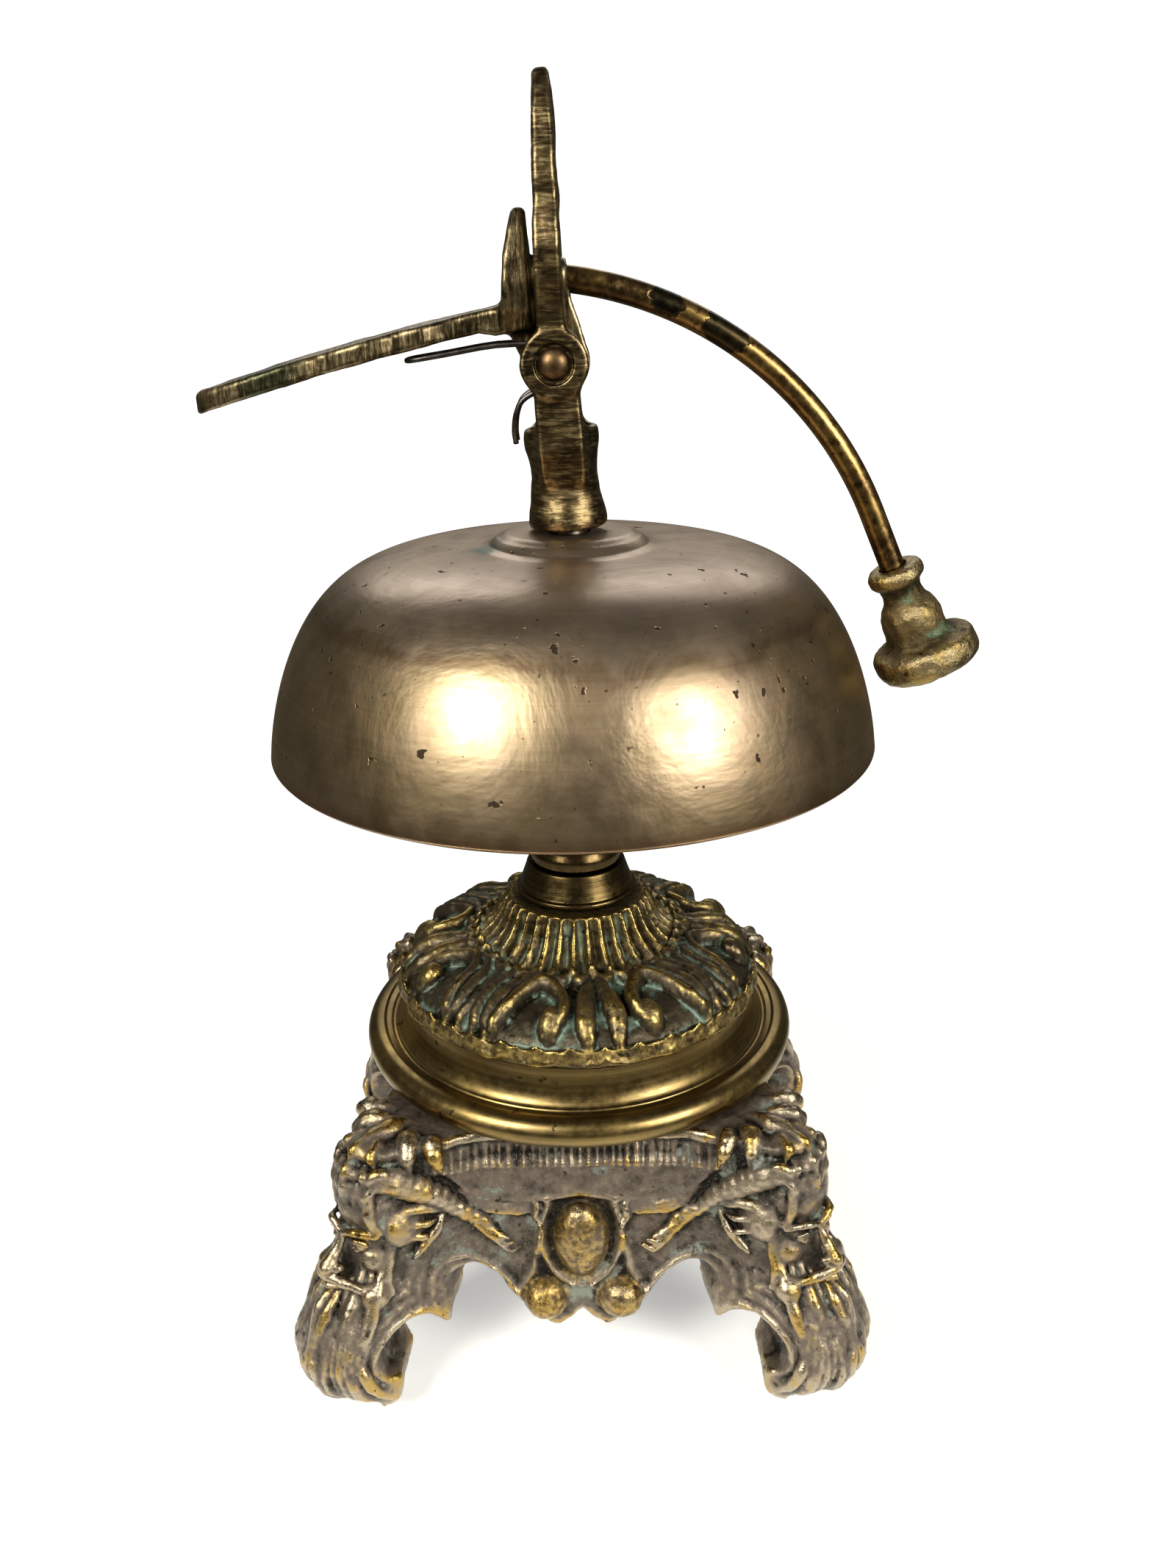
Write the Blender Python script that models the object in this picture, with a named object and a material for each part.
"""Counter service bell: four-legged cast base, turned ring, rosette, stem, domed bell and a sprung
lever that swings a hammer on a bent rod.

Every dimension is in millimetres, and each mesh is scaled to metres as it is made.
The bell axis is vertical. The feet stand on z = 0. The finger plate points along -X and the
hammer hangs over the +X side of the dome.
"""
import math

import bmesh
import bpy
from mathutils import Matrix, Vector

MM = 0.001

# ---- overall placing ----
AXIS_X = -4.198             # bell axis, so that the origin is under the middle of the whole bell
GAP = 0.3                    # air between two pieces that touch
ROUND = 48                   # sides of a large turned piece
SMALL_ROUND = 24             # sides of a small turned piece

# ---- base casting ----
DECK_TOP = 39.0
DECK_THICKNESS = 3.2
FACE_TOP_HALF = 24.5         # half width of the square base at the deck
FACE_TAPER = 0.17            # the faces lean out by this much per millimetre downwards
WALL = 3.0
SQUARENESS = 8               # exponent that rounds the corners of the square plan
LEG_PROFILE = [              # height, radius of the proud leg on the diagonal
    (0, 42.4), (2.5, 46.6), (5, 49.8), (8, 51.8), (12, 52.4), (16, 52.0), (20, 51.2), (22.5, 49.4),
    (25, 47.4), (29, 46.0), (33, 44.8), (36, 43.4), (39, 41.0)]
LEG_FLAT = [(0, 4.0), (4, 6.0), (16, 6.0), (22.5, 0.0)]      # height, half width of the broad front, degrees
LEG_SPREAD = [(0, 5.0), (19, 5.5), (27, 9.0), (39, 8.0)]     # height, degrees over which the leg falls away
ARCH_OUTLINE = [             # one half of the lower edge of a face: centre notch to foot
    (0.0, 12.3), (3.9, 9.8), (6.4, 12.3), (9.3, 14.1), (11.8, 17.7), (14.2, 18.8), (15.8, 17.6),
    (16.6, 14.2), (17.4, 12.4), (18.6, 11.5), (20.8, 12.1), (22.8, 11.5), (24.4, 10.2), (24.6, 8.4),
    (23.8, 6.2), (24.2, 4.2), (25.4, 2.0), (27.4, -1.0)]
EGG_CENTRE_Z = 23.0
EGG_HALF = (3.7, 3.2, 5.6)
KNOB_CENTRE = (5.0, 14.3)
KNOB_HALF = (3.0, 2.6, 3.0)

# ---- clamped stack ----
ROD_R = 2.4                  # tie rod
ROD_FOOT = 29.5
ROD_TOP = 117.8
HOLE_R = 2.8                 # clearance hole for the tie rod
RING_R = 31.0
RING_BOTTOM = DECK_TOP + GAP
RING_TOP = 48.5
ROSETTE_BOTTOM = RING_TOP + GAP
ROSETTE_RIM_R = 26.4
ROSETTE_TOP = 62.0
COLLAR_BOTTOM = ROSETTE_TOP + GAP
COLLAR_TOP = 66.9
TUBE_R = 6.0
TUBE_TOP = 108.2
TUBE_BORE_R = 4.0
SEAT_WASHER = 1.0
WASHER_R = 8.0
WASHER_THICKNESS = 1.2
NUT_CORNER_R = 5.2
NUT_HEIGHT = 3.6

# ---- bell dome ----
DOME_R = 40.4
DOME_RIM_Z = 85.3
DOME_HEIGHT = 26.1
DOME_WALL = 1.6
DOME_BOSS_R = 9.0
DOME_BOSS_TOP = 113.2
DOME_POWER_R = 2.0 / 5.41    # exponents of the superellipse in plan radius and in height
DOME_POWER_Z = 2.0 / 1.505

# ---- fork post, drawn upright, and leaning as a whole about the foot of the post ----
LEAN = 3.7                   # degrees towards the finger plate
POST_R = 5.1
POST_BOTTOM = DOME_BOSS_TOP + GAP + POST_R * math.sin(math.radians(LEAN))
POST_HOLE_R = 3.1
LIP_TOP = 126.3
LIP_R = 4.7
CUP_R = 3.7
CUP_FLOOR = 122.0
CHEEK_IN = 3.3
CHEEK_OUT = 5.5
SHANK_HALF = 2.9
BOSS_R = 4.15
BOSS_OUT = 5.9
CREST_TOP = 166.1
CREST = [                    # height, half width, front face x, back face x
    (133.0, 5.5, -1.75, 1.75), (138.0, 5.5, -1.7, 1.75), (141.0, 6.6, -1.6, 1.7),
    (144.0, 8.3, -1.45, 1.75), (147.0, 8.9, -1.3, 1.85), (150.0, 8.2, -1.1, 1.9),
    (152.6, 6.4, -0.75, 2.0), (154.4, 7.4, -0.65, 2.0), (157.0, 7.2, -0.5, 2.05),
    (159.4, 5.0, -0.35, 2.1), (161.4, 5.4, -0.2, 2.1), (163.6, 4.4, 0.05, 2.1),
    (CREST_TOP, 2.0, 0.3, 2.05)]
WINDOW = [(3.3, 121.9), (3.3, 139.0), (4.8, 143.5), (4.6, 146.0), (3.0, 148.3), (0.0, 149.2)]

# ---- lever, drawn upright round the pivot ----
PIVOT_Z = 134.1              # height of the pivot in the upright drawing
LEVER_LEAN = 1.0             # degrees at rest, towards the finger plate
PIN_R = 1.5
PIN_BORE_R = 1.6
PIN_HEAD_R = 1.95
PIN_HEAD_RECESS_R = 2.4
HUB_R = 4.3
HUB_HALF = 1.6
FINGER = [                   # x, half width
    (-44.4, 1.6), (-43.0, 3.1), (-39.6, 4.8), (-36.0, 5.6), (-32.4, 5.4), (-29.5, 4.3), (-28.1, 3.7),
    (-26.4, 4.6), (-23.3, 5.2), (-20.5, 4.4), (-19.2, 3.5), (-17.6, 4.1), (-15.7, 4.2), (-13.6, 3.2),
    (-11.6, 2.8), (-8.4, 2.8), (-3.6, 3.2)]
FINGER_TOP = ((-44.4, 131.9), (-24.2, 137.2), (-5.5, 140.95))
FINGER_THICKNESS = 2.6
FLANGE = [                   # height, half width, front face x, back face x
    (138.6, 3.2, -6.2, -2.3), (140.2, 4.6, -6.2, -2.4), (143.0, 5.6, -5.9, -2.5), (146.6, 5.2, -5.5, -2.7),
    (149.6, 3.9, -4.9, -2.85), (151.6, 2.2, -4.4, -2.9)]
HUB_SHOULDER = [(3.9, 136.0), (3.2, 138.4), (2.3, 141.0), (1.7, 144.8), (-3.2, 145.4), (-5.0, 141.0),
                (-5.6, 138.2), (-4.25, 135.0)]

# ---- hammer rod and head ----
HAMMER_ROD_R = 1.6
BEND_CENTRE = (-5.22, 94.96)
BEND_R = 49.1
BEND_START = 86.0            # degrees round the bend, at the root and where the rod runs straight
BEND_END = 23.0
STRAIGHT_TO_HEAD = 7.6
ROD_IN_HEAD = 5.0
ROD_BORE_R = 1.8
SOCKET_ANGLE = 84.5          # degrees round the bend at the middle of the lever's rod socket
SOCKET_R = 2.3
SOCKET_LENGTH = 4.4
HEAD_PROFILE = [             # distance down the head's axis, radius
    (0.0, 3.0), (0.8, 3.7), (2.2, 3.7), (3.0, 2.7), (4.5, 2.7), (6.8, 3.9), (8.8, 3.9), (10.4, 4.5),
    (11.3, 6.5), (12.0, 6.9), (13.9, 6.9), (15.0, 6.0)]

# ---- return spring ----
WIRE_R = 0.35
COIL_R = 2.25
COIL_INNER_Y = 2.12
COIL_OUTER_Y = 2.86
BAIL_X = -17.6
BAIL_HALF = 2.1
COIL_STEPS = 14


# ======================================================================= helpers
def clear_scene():
    """Remove every object of the open scene."""
    for obj in list(bpy.data.objects):
        bpy.data.objects.remove(obj, do_unlink=True)


def metal(name, colour, roughness):
    """A metallic Principled material."""
    mat = bpy.data.materials.new(name)
    mat.use_nodes = True
    shader = mat.node_tree.nodes["Principled BSDF"]
    shader.inputs["Base Color"].default_value = (*colour, 1.0)
    shader.inputs["Metallic"].default_value = 1.0
    shader.inputs["Roughness"].default_value = roughness
    return mat


def empty(name, level, x, z, lean):
    """An empty that carries one group of pieces, which are drawn upright round the bell axis.

    The point of the axis at `level` in the drawing comes to (x, 0, z), with the group leaning
    `lean` degrees towards the finger plate.
    """
    holder = bpy.data.objects.new(name, None)
    bpy.context.scene.collection.objects.link(holder)
    holder.location = (x * MM, 0.0, z * MM)
    holder.rotation_euler.y = math.radians(-lean)
    holder["level"] = level * MM
    return holder


def carry(obj, holder):
    """Link an object and hang it under its group's empty."""
    bpy.context.scene.collection.objects.link(obj)
    obj.parent = holder
    obj.matrix_parent_inverse = Matrix.Translation((0, 0, -holder["level"]))
    return obj


def finish(name, bm, mat, parent):
    """Turn millimetre geometry into a smooth-shaded object under its group's empty."""
    bmesh.ops.recalc_face_normals(bm, faces=bm.faces)
    bmesh.ops.scale(bm, vec=(MM, MM, MM), verts=bm.verts)
    mesh = bpy.data.meshes.new(name)
    bm.to_mesh(mesh)
    bm.free()
    if mat:
        mesh.materials.append(mat)
    mesh.shade_smooth()
    mesh.set_sharp_from_angle(angle=math.radians(35))
    return carry(bpy.data.objects.new(name, mesh), parent)


def combine(obj, operation, tool):
    """Cut or join another object with a Boolean, and leave the tool out of the model."""
    tool.hide_render = True
    tool.display_type = "WIRE"
    mod = obj.modifiers.new(f"{operation.lower()}_{tool.name}", "BOOLEAN")
    mod.operation = operation
    mod.solver = "EXACT"
    mod.object = tool
    return obj


def lathe(profile, sides, closed=True):
    """Spin an (r, z) profile round Z. A closed profile makes a piece with a hole through it."""
    bm = bmesh.new()
    verts = [bm.verts.new((r, 0.0, z)) for r, z in profile]
    pairs = list(zip(verts, verts[1:]))
    if closed:
        pairs.append((verts[-1], verts[0]))
    edges = [bm.edges.new(pair) for pair in pairs]
    bmesh.ops.spin(bm, geom=verts + edges, axis=(0, 0, 1), cent=(0, 0, 0), steps=sides,
                   angle=2 * math.pi, use_merge=True)
    bmesh.ops.remove_doubles(bm, verts=bm.verts, dist=1e-4)
    return bm


def prism(outline, plane, low, high):
    """Extrude a closed outline drawn in the XZ or YZ plane along the third axis."""
    bm = bmesh.new()
    for u, v in outline:
        bm.verts.new((u, low, v) if plane == "XZ" else (low, u, v))
    face = bm.faces.new(bm.verts)
    run = Vector((0, high - low, 0)) if plane == "XZ" else Vector((high - low, 0, 0))
    grown = bmesh.ops.extrude_face_region(bm, geom=[face])["geom"]
    bmesh.ops.translate(bm, vec=run, verts=[g for g in grown if isinstance(g, bmesh.types.BMVert)])
    return bm


def loft(sections):
    """Join a row of four-cornered sections into one closed bar."""
    bm = bmesh.new()
    rings = [[bm.verts.new(p) for p in section] for section in sections]
    for a, b in zip(rings, rings[1:]):
        for i in range(4):
            j = (i + 1) % 4
            bm.faces.new((a[i], a[j], b[j], b[i]))
    bm.faces.new(rings[0])
    bm.faces.new(rings[-1])
    return bm


def standing_plate(rows):
    """A plate across the bell, from rows of height, half width, front x and back x."""
    return loft([[(front, -w, z), (back, -w, z), (back, w, z), (front, w, z)] for z, w, front, back in rows])


def cross_cylinder(radius, half, centre, sides):
    """A cylinder along Y, for bosses, pins and their bores."""
    bm = bmesh.new()
    turn = Matrix.Translation((centre[0], 0, centre[1])) @ Matrix.Rotation(math.pi / 2, 4, "X")
    bmesh.ops.create_cone(bm, cap_ends=True, segments=sides, radius1=radius, radius2=radius,
                          depth=2 * half, matrix=turn)
    return bm


def wire(name, points, radius, mat, parent, sides):
    """A round bar or wire along a list of points."""
    data = bpy.data.curves.new(name, "CURVE")
    data.dimensions = "3D"
    data.bevel_depth = radius * MM
    data.bevel_resolution = sides
    data.use_fill_caps = True
    spline = data.splines.new("POLY")
    spline.points.add(len(points) - 1)
    for slot, (x, y, z) in zip(spline.points, points):
        slot.co = (x * MM, y * MM, z * MM, 1.0)
    data.materials.append(mat)
    return carry(bpy.data.objects.new(name, data), parent)


def between(table, at):
    """Straight-line reading of a two-column table."""
    for (x0, y0), (x1, y1) in zip(table, table[1:]):
        if at <= x1:
            return y0 + (y1 - y0) * (at - x0) / (x1 - x0)
    return table[-1][1]


# ======================================================================= stand
def face_half(z):
    """Half width of the base's flat faces at a height."""
    return FACE_TOP_HALF + (DECK_TOP - z) * FACE_TAPER


def rounded_square(angle, half):
    """Plan radius of a square with rounded corners."""
    total = abs(math.cos(angle)) ** SQUARENESS + abs(math.sin(angle)) ** SQUARENESS
    return half / total ** (1 / SQUARENESS)


def base_radius(angle, z):
    """Outer radius of the base: a square with a proud leg on each diagonal."""
    off = (math.degrees(angle) % 90.0) - 45.0
    square = rounded_square(angle, face_half(z))
    proud = between(LEG_PROFILE, z) - rounded_square(math.pi / 4, face_half(z))
    past = max(0.0, abs(off) - between(LEG_FLAT, z))
    return square + proud * math.exp(-(past / between(LEG_SPREAD, z)) ** 2)


def base_shell():
    """The outer body of the base casting, from the floor to the deck."""
    bm = bmesh.new()
    sides = 96
    rings = []
    for z, _ in LEG_PROFILE:
        angles = [2 * math.pi * i / sides for i in range(sides)]
        radii = [base_radius(a, z) for a in angles]
        rings.append([bm.verts.new((r * math.cos(a), r * math.sin(a), z)) for a, r in zip(angles, radii)])
    for low, high in zip(rings, rings[1:]):
        for i in range(sides):
            j = (i + 1) % sides
            bm.faces.new((low[i], low[j], high[j], high[i]))
    bm.faces.new(rings[0])
    bm.faces.new(rings[-1])
    return bm


def base_hollow():
    """The space under the deck, open at the floor."""
    sections = []
    for z in (-1.0, DECK_TOP - DECK_THICKNESS):
        h = face_half(z) - WALL
        sections.append([(-h, -h, z), (h, -h, z), (h, h, z), (-h, h, z)])
    return loft(sections)


def arch_cutter(turned):
    """The scalloped opening under one pair of opposite faces."""
    right = [(x, z) for x, z in ARCH_OUTLINE]
    left = [(-x, z) for x, z in reversed(ARCH_OUTLINE[1:])]
    return prism(left + right, "YZ" if turned else "XZ", -60, 60)


def face_ornaments():
    """A cabochon and two knobs in the middle of each face."""
    bm = bmesh.new()
    for turn in range(4):
        spin = Matrix.Rotation(turn * math.pi / 2, 4, "Z")
        for x, z, half in ((0, EGG_CENTRE_Z, EGG_HALF), (KNOB_CENTRE[0], KNOB_CENTRE[1], KNOB_HALF),
                           (-KNOB_CENTRE[0], KNOB_CENTRE[1], KNOB_HALF)):
            place = Matrix.Translation((x, -face_half(z), z)) @ Matrix.Diagonal((*half, 1.0))
            bmesh.ops.create_uvsphere(bm, u_segments=12, v_segments=7, radius=1.0, matrix=spin @ place)
    return bm


def make_base_casting(parent):
    """Square ornamental base on four mask-headed legs, hollow underneath."""
    base = finish("base_casting", base_shell(), metal("aged_bronze", (0.33, 0.27, 0.19), 0.42), parent)
    combine(base, "UNION", finish("base_ornaments", face_ornaments(), None, parent))
    combine(base, "DIFFERENCE", finish("base_hollow", base_hollow(), None, parent))
    combine(base, "DIFFERENCE", finish("arch_front_back", arch_cutter(False), None, parent))
    combine(base, "DIFFERENCE", finish("arch_left_right", arch_cutter(True), None, parent))
    bolt_hole = lathe([(0, 30), (HOLE_R, 30), (HOLE_R, 45), (0, 45)], SMALL_ROUND, closed=False)
    combine(base, "DIFFERENCE", finish("base_bolt_hole", bolt_hole, None, parent))
    return base


def make_base_ring(parent):
    """Turned ring with a torus edge and a hollow cavetto, dished underneath."""
    torus = []
    for step in range(6):
        a = math.radians(-80 + step * 32)
        torus.append((RING_R - 2.1 + 2.1 * math.cos(a), 41.4 + 2.1 * math.sin(a)))
    cavetto = []
    for step in range(6):
        a = math.radians(step * 18)
        cavetto.append((25.0 + 1.9 * (1 - math.sin(a)), RING_TOP - 5.5 * math.cos(a)))
    profile = [(28.0, RING_BOTTOM)] + torus + [(27.2, 42.8)] + cavetto
    profile += [(HOLE_R, RING_TOP), (HOLE_R, 45.9), (22.4, 45.9), (24.4, 41.6)]
    mat = metal("brushed_brass", (0.5, 0.37, 0.17), 0.34)
    return finish("base_ring", lathe(profile, ROUND), mat, parent)


def make_rosette(parent):
    """Domed acanthus rosette casting, hollow underneath."""
    outer = [(ROSETTE_RIM_R, ROSETTE_BOTTOM), (ROSETTE_RIM_R, 49.6), (26.0, 51.4), (24.6, 53.0),
             (21.5, 54.6), (17.8, 55.3), (14.4, 56.3), (11.8, 58.2), (10.3, 60.3), (9.4, ROSETTE_TOP)]
    inner = [(HOLE_R, ROSETTE_TOP), (HOLE_R, 58.8), (6.8, 58.8), (9.2, 56.2), (14.0, 53.4),
             (23.6, ROSETTE_BOTTOM)]
    mat = metal("dark_bronze", (0.3, 0.23, 0.13), 0.4)
    return finish("rosette", lathe(outer + inner, ROUND), mat, parent)


def make_stem_collar(parent):
    """Turned collar with a bead at its foot, tapering up to the stem tube."""
    profile = [(HOLE_R, COLLAR_BOTTOM), (8.1, COLLAR_BOTTOM), (8.55, COLLAR_BOTTOM + 0.4), (8.5, 63.2),
               (8.1, 63.5), (7.5, 65.0), (6.85, COLLAR_TOP), (HOLE_R, COLLAR_TOP)]
    mat = metal("stem_brass", (0.36, 0.27, 0.15), 0.33)
    return finish("stem_collar", lathe(profile, ROUND), mat, parent)


def make_stem_tube(parent):
    """Tube that carries the bell above the collar."""
    low = COLLAR_TOP + GAP
    profile = [(TUBE_BORE_R, low), (TUBE_R + 0.3, low), (TUBE_R + 0.3, low + 1.4), (TUBE_R - 0.2, low + 2.4),
               (TUBE_R - 0.8, 90.0), (TUBE_R - 0.6, 100.0), (TUBE_R + 1.2, 104.5), (TUBE_R + 1.8, TUBE_TOP),
               (TUBE_BORE_R, TUBE_TOP)]
    mat = metal("tube_brass", (0.38, 0.29, 0.16), 0.36)
    return finish("stem_tube", lathe(profile, SMALL_ROUND), mat, parent)


def make_seat_washer(parent):
    """Fibre washer between the stem tube and the crown of the bell."""
    low = TUBE_TOP + GAP
    profile = [(HOLE_R, low), (7.2, low), (7.2, low + SEAT_WASHER), (HOLE_R, low + SEAT_WASHER)]
    mat = metal("fibre", (0.16, 0.07, 0.04), 0.8)
    mat.node_tree.nodes["Principled BSDF"].inputs["Metallic"].default_value = 0.0
    return finish("bell_seat_washer", lathe(profile, SMALL_ROUND), mat, parent)


def dome_arc(radius, height, steps):
    """Rim-to-crown points of the dome, a superellipse that narrows slightly upwards."""
    points = []
    for i in range(steps):
        t = (math.pi / 2) * (i / steps)
        rise = math.sin(t) ** DOME_POWER_Z
        wide = math.cos(t) ** DOME_POWER_R
        points.append((radius * wide * (1 - 0.0132 * height * rise / 25.13), DOME_RIM_Z + height * rise))
    return points


def make_bell_dome(parent):
    """The bell: a thin turned dome with a raised boss round its centre hole."""
    outer = [p for p in dome_arc(DOME_R, DOME_HEIGHT, 14) if p[0] > DOME_BOSS_R + 2.5]
    outer += [(DOME_BOSS_R + 1.2, 111.9), (DOME_BOSS_R, 112.7), (DOME_BOSS_R - 1.0, DOME_BOSS_TOP)]
    inner = [p for p in dome_arc(DOME_R - DOME_WALL, DOME_HEIGHT - DOME_WALL, 10) if p[0] > 12]
    inner.append((HOLE_R, DOME_RIM_Z + DOME_HEIGHT - DOME_WALL))
    profile = outer + [(HOLE_R, DOME_BOSS_TOP)] + inner[::-1]
    return finish("bell_dome", lathe(profile, ROUND), metal("bell_metal", (0.4, 0.29, 0.2), 0.3), parent)


def make_tie_rod(parent):
    """Long rod that clamps the base, ring, rosette, stem, bell and fork post together."""
    profile = [(0, ROD_FOOT), (ROD_R - 0.5, ROD_FOOT), (ROD_R, ROD_FOOT + 0.6),
               (ROD_R, ROD_TOP - 0.6), (ROD_R - 0.5, ROD_TOP), (0, ROD_TOP)]
    mat = metal("rod_steel", (0.3, 0.28, 0.26), 0.45)
    return finish("tie_rod", lathe(profile, 16, closed=False), mat, parent)


def make_base_washer(parent):
    """Wide washer under the deck."""
    top = DECK_TOP - DECK_THICKNESS - GAP
    low = top - WASHER_THICKNESS
    profile = [(HOLE_R, low), (WASHER_R, low), (WASHER_R, top), (HOLE_R, top)]
    mat = metal("washer_steel", (0.32, 0.3, 0.28), 0.5)
    return finish("base_washer", lathe(profile, SMALL_ROUND), mat, parent)


def make_base_nut(parent):
    """Hexagon nut that draws the tie rod tight."""
    top = DECK_TOP - DECK_THICKNESS - WASHER_THICKNESS - 2 * GAP
    low = top - NUT_HEIGHT
    profile = [(HOLE_R, low), (NUT_CORNER_R, low), (NUT_CORNER_R, top), (HOLE_R, top)]
    return finish("base_nut", lathe(profile, 6), metal("nut_steel", (0.34, 0.31, 0.28), 0.45), parent)


def post_body():
    """The turned lower part of the fork post."""
    profile = [(0, POST_BOTTOM), (POST_R, POST_BOTTOM), (5.05, 114.8), (4.6, 117.4), (4.2, 120.6),
               (4.35, 122.4), (LIP_R, 124.6), (LIP_R - 0.1, LIP_TOP), (0, LIP_TOP)]
    return lathe(profile, SMALL_ROUND, closed=False)


def cheek_foot():
    """The block that the two cheeks grow out of, at the top of the post."""
    rows = [(118.0, 3.6, -2.4, 2.4), (121.0, 4.6, -SHANK_HALF, SHANK_HALF),
            (124.0, CHEEK_OUT, -SHANK_HALF, SHANK_HALF), (134.0, CHEEK_OUT, -SHANK_HALF, SHANK_HALF)]
    return standing_plate(rows)


def post_with_cup(parent):
    """The post with the round cup that the cheeks stand in."""
    post = finish("post_body", post_body(), None, parent)
    profile = [(0, CUP_FLOOR), (CUP_R, CUP_FLOOR), (CUP_R, LIP_TOP + 1), (0, LIP_TOP + 1)]
    cup = lathe(profile, SMALL_ROUND, closed=False)
    return combine(post, "DIFFERENCE", finish("post_cup", cup, None, parent))


def make_fork_post(parent):
    """One casting: cup-shaped post, two cheeks with pivot bosses, and a tall crest joining them."""
    fork = finish("fork_post", standing_plate(CREST), metal("post_bronze", (0.4, 0.32, 0.17), 0.42), parent)
    combine(fork, "UNION", finish("cheek_foot", cheek_foot(), None, parent))
    bosses = cross_cylinder(BOSS_R, BOSS_OUT, (0, PIVOT_Z), SMALL_ROUND)
    combine(fork, "UNION", finish("fork_bosses", bosses, None, parent))
    window = WINDOW + [(-y, z) for y, z in reversed(WINDOW[:-1])]
    combine(fork, "DIFFERENCE", finish("fork_window", prism(window, "YZ", -10, 10), None, parent))
    combine(fork, "UNION", post_with_cup(parent))
    bore = cross_cylinder(PIN_BORE_R, 10, (0, PIVOT_Z), SMALL_ROUND)
    combine(fork, "DIFFERENCE", finish("fork_pin_bore", bore, None, parent))
    for name, side in (("near", -1), ("far", 1)):
        recess = cross_cylinder(PIN_HEAD_RECESS_R, 0.5, (0, PIVOT_Z), SMALL_ROUND)
        bmesh.ops.translate(recess, vec=(0, side * (BOSS_OUT - 0.4), 0), verts=recess.verts)
        combine(fork, "DIFFERENCE", finish(f"head_recess_{name}", recess, None, parent))
    rod_hole = [(0, 110), (POST_HOLE_R, 110), (POST_HOLE_R, 119.4), (0, 119.4)]
    hole = lathe(rod_hole, SMALL_ROUND, closed=False)
    return combine(fork, "DIFFERENCE", finish("post_rod_hole", hole, None, parent))


def make_pivot_pin(parent):
    """Riveted pin across the fork, with a domed head at each end."""
    seat = BOSS_OUT - 0.9 + 0.1
    tip = BOSS_OUT + 0.6
    half = [(0, tip), (1.1, tip - 0.15), (1.7, tip - 0.6), (PIN_HEAD_R, tip - 1.0),
            (PIN_HEAD_R, seat), (PIN_R, seat)]
    profile = [(r, z) for r, z in half] + [(r, -z) for r, z in reversed(half)]
    bm = lathe(profile, SMALL_ROUND, closed=False)
    turn = Matrix.Translation((0, 0, PIVOT_Z)) @ Matrix.Rotation(math.pi / 2, 4, "X")
    bmesh.ops.transform(bm, matrix=turn, verts=bm.verts)
    return finish("pivot_pin", bm, metal("pin_brass", (0.36, 0.25, 0.12), 0.42), parent)


# ======================================================================= lever
def finger_top(x):
    """Height of the finger plate's upper face: a gentle arch through three points."""
    total = 0.0
    for i, (xi, zi) in enumerate(FINGER_TOP):
        weight = zi
        for j, (xj, _) in enumerate(FINGER_TOP):
            if i != j:
                weight *= (x - xj) / (xi - xj)
        total += weight
    return total


def finger_plate():
    """Scalloped plate that the finger presses."""
    sections = []
    for x, w in FINGER:
        top = finger_top(x)
        low = top - FINGER_THICKNESS - (0.7 if x > -8 else 0.0)
        sections.append([(x, -w, low), (x, w, low), (x, w, top), (x, -w, top)])
    return loft(sections)


def lever_body():
    """Hub round the pivot pin with a shoulder up to the flange and the rod's root."""
    left, right = HUB_SHOULDER[-1], HUB_SHOULDER[0]
    start = math.degrees(math.atan2(left[1] - PIVOT_Z, left[0]))
    stop = 360 + math.degrees(math.atan2(right[1] - PIVOT_Z, right[0]))
    arc = []
    for i in range(1, 12):
        a = math.radians(start + (stop - start) * i / 12)
        arc.append((HUB_R * math.cos(a), PIVOT_Z + HUB_R * math.sin(a)))
    return prism(HUB_SHOULDER + arc, "XZ", -HUB_HALF, HUB_HALF)


def bend_point(angle, radius=BEND_R):
    """A point of the hammer rod's bend, in the XZ plane."""
    a = math.radians(angle)
    return Vector((BEND_CENTRE[0] + radius * math.cos(a), 0, BEND_CENTRE[1] + radius * math.sin(a)))


def along(angle):
    """The direction of the rod at an angle of its bend, towards the hammer."""
    a = math.radians(angle)
    return Vector((math.sin(a), 0, -math.cos(a)))


def make_lever_casting(parent):
    """One casting: finger plate, upright flange, hub and the socket of the hammer rod."""
    mat = metal("lever_bronze", (0.44, 0.37, 0.22), 0.4)
    lever = finish("lever_casting", lever_body(), mat, parent)
    combine(lever, "UNION", finish("finger_plate", finger_plate(), None, parent))
    combine(lever, "UNION", finish("flange", standing_plate(FLANGE), None, parent))
    root = bmesh.new()
    middle = bend_point(SOCKET_ANGLE)
    tilt = along(SOCKET_ANGLE).to_track_quat("Z", "Y").to_matrix().to_4x4()
    bmesh.ops.create_cone(root, cap_ends=True, segments=SMALL_ROUND, radius1=SOCKET_R, radius2=SOCKET_R,
                          depth=SOCKET_LENGTH, matrix=Matrix.Translation(middle) @ tilt)
    combine(lever, "UNION", finish("rod_socket", root, None, parent))
    bore = bmesh.new()
    start = bend_point(BEND_START) - along(SOCKET_ANGLE) * 0.4
    bmesh.ops.create_cone(bore, cap_ends=True, segments=SMALL_ROUND, radius1=ROD_BORE_R, radius2=ROD_BORE_R,
                          depth=12.0, matrix=Matrix.Translation(start + along(SOCKET_ANGLE) * 6.0) @ tilt)
    combine(lever, "DIFFERENCE", finish("rod_socket_bore", bore, None, parent))
    pin_bore = cross_cylinder(PIN_BORE_R, 8, (0, PIVOT_Z), SMALL_ROUND)
    combine(lever, "DIFFERENCE", finish("lever_pin_bore", pin_bore, None, parent))
    return lever


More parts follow.
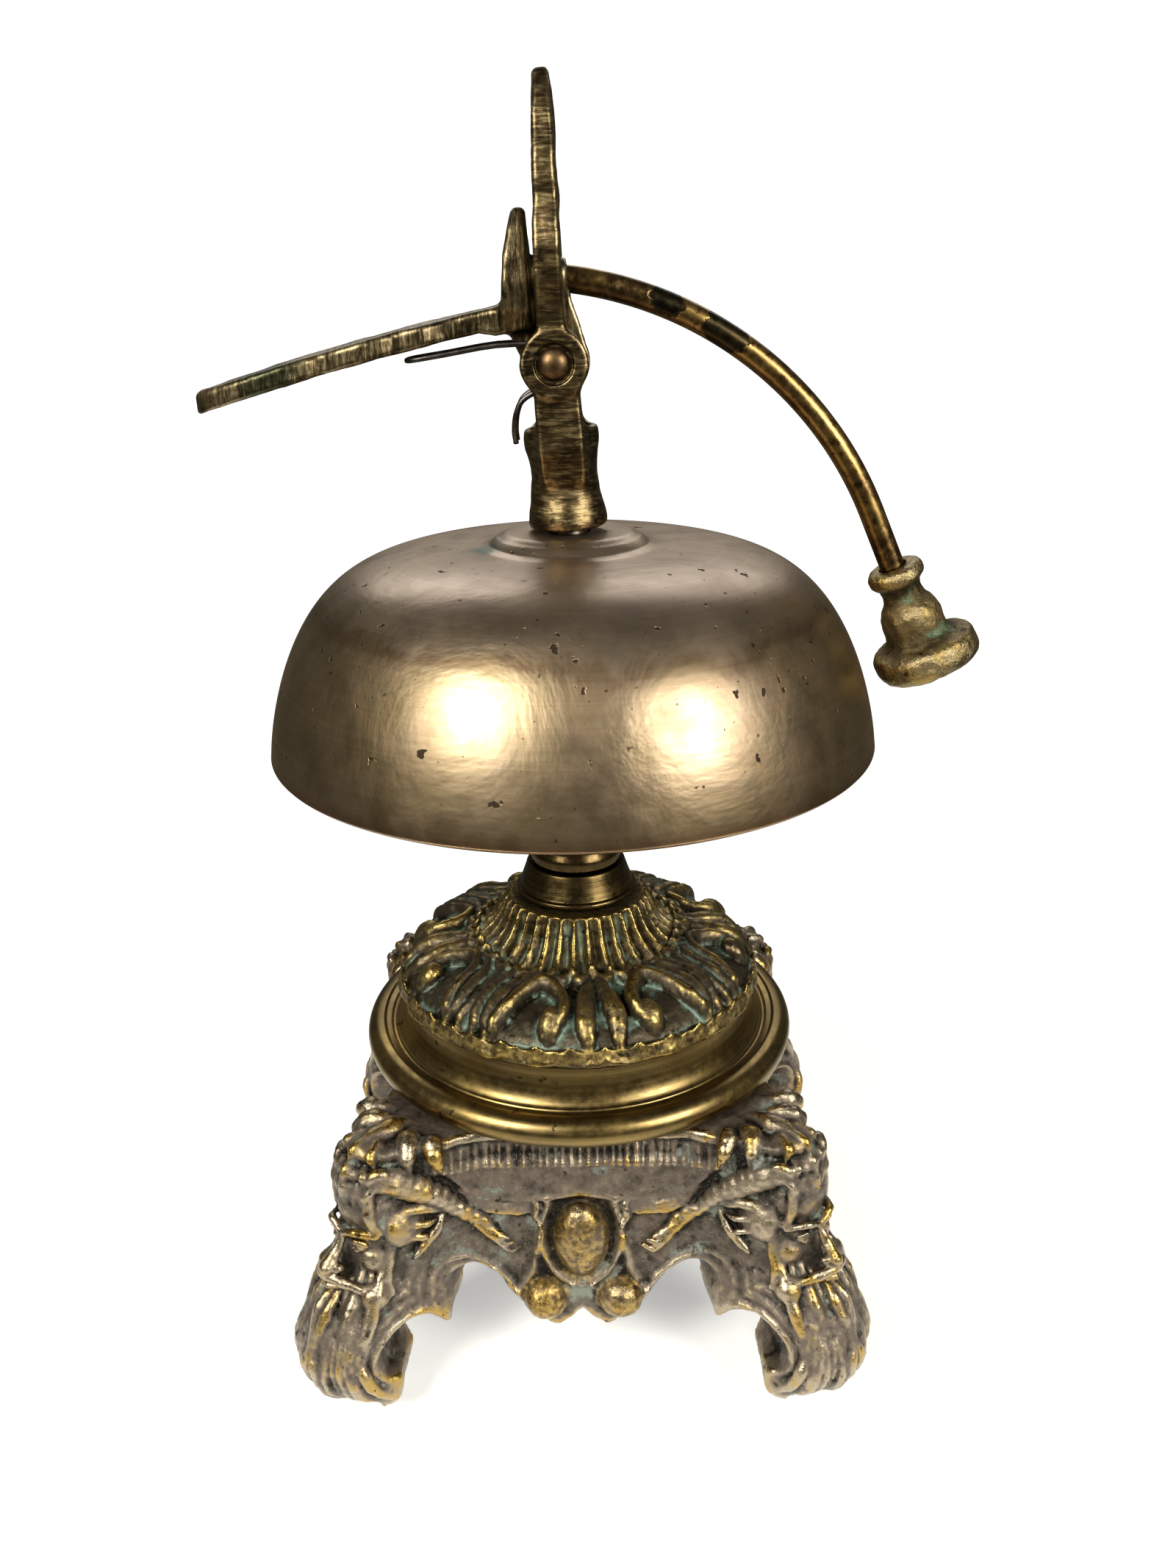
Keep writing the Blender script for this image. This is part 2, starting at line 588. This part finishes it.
def make_hammer_rod(parent):
    """Bent rod from the lever's socket down to the hammer head."""
    points = []
    steps = 26
    for i in range(steps + 1):
        points.append(tuple(bend_point(BEND_START + (BEND_END - BEND_START) * i / steps)))
    straight = bend_point(BEND_END)
    for run in (3.0, STRAIGHT_TO_HEAD, STRAIGHT_TO_HEAD + ROD_IN_HEAD):
        points.append(tuple(straight + along(BEND_END) * run))
    mat = metal("rod_brass", (0.36, 0.26, 0.12), 0.36)
    return wire("hammer_rod", points, HAMMER_ROD_R, mat, parent, 4)


def make_hammer_head(parent):
    """Vase-shaped hammer head with a blind socket for the rod."""
    depth = ROD_IN_HEAD + 0.4
    profile = [(0, -depth), (ROD_BORE_R, -depth), (ROD_BORE_R, 0.0)]
    profile += [(r, -s) for s, r in HEAD_PROFILE] + [(0, -HEAD_PROFILE[-1][0])]
    bm = lathe(profile, SMALL_ROUND, closed=False)
    top = bend_point(BEND_END) + along(BEND_END) * STRAIGHT_TO_HEAD
    tilt = Matrix.Rotation(math.radians(-BEND_END), 4, "Y")
    bmesh.ops.transform(bm, matrix=Matrix.Translation(top) @ tilt, verts=bm.verts)
    return finish("hammer_head", bm, metal("hammer_bronze", (0.36, 0.27, 0.14), 0.45), parent)


def coil(side, first, turns, y_from, y_to):
    """One coil of the return spring round the pin, as points."""
    points = []
    steps = int(COIL_STEPS * turns)
    for i in range(steps + 1):
        a = math.radians(first) - 2 * math.pi * turns * i / steps
        y = side * (y_from + (y_to - y_from) * i / steps)
        points.append((COIL_R * math.cos(a), y, PIVOT_Z + COIL_R * math.sin(a)))
    return points


def make_return_spring(parent):
    """Double torsion spring: a bail under the finger plate, two coils and two legs on the cup's lip."""
    half = [(BAIL_X, BAIL_HALF, 134.9), (-13.0, COIL_INNER_Y + 0.2, 135.5), (-7.0, COIL_INNER_Y, 136.3)]
    half += coil(1, 88.0, 1.42, COIL_INNER_Y, COIL_OUTER_Y)
    half += [(-3.6, COIL_OUTER_Y, 130.2), (-4.9, COIL_OUTER_Y - 0.2, 128.4), (-5.3, 2.2, 126.2),
             (-5.2, 1.7, 124.6)]
    points = [(x, -y, z) for x, y, z in reversed(half)] + half
    return wire("return_spring", points, WIRE_R, metal("spring_steel", (0.12, 0.11, 0.1), 0.35), parent, 2)


# ======================================================================= the bell
def main():
    """Build the whole bell."""
    clear_scene()
    stand = empty("stand_axis", 0.0, AXIS_X, 0.0, 0.0)
    seat = empty("fork_seat", POST_BOTTOM, AXIS_X, POST_BOTTOM, LEAN)
    rise = PIVOT_Z - POST_BOTTOM
    pivot_x = AXIS_X - rise * math.sin(math.radians(LEAN))
    pivot_z = POST_BOTTOM + rise * math.cos(math.radians(LEAN))
    pivot = empty("lever_axis", PIVOT_Z, pivot_x, pivot_z, LEVER_LEAN)
    for make in (make_base_casting, make_base_ring, make_rosette, make_stem_collar, make_stem_tube,
                 make_seat_washer, make_bell_dome, make_tie_rod, make_base_washer, make_base_nut):
        make(stand)
    for make in (make_fork_post, make_pivot_pin):
        make(seat)
    for make in (make_lever_casting, make_hammer_rod, make_hammer_head, make_return_spring):
        make(pivot)


main()
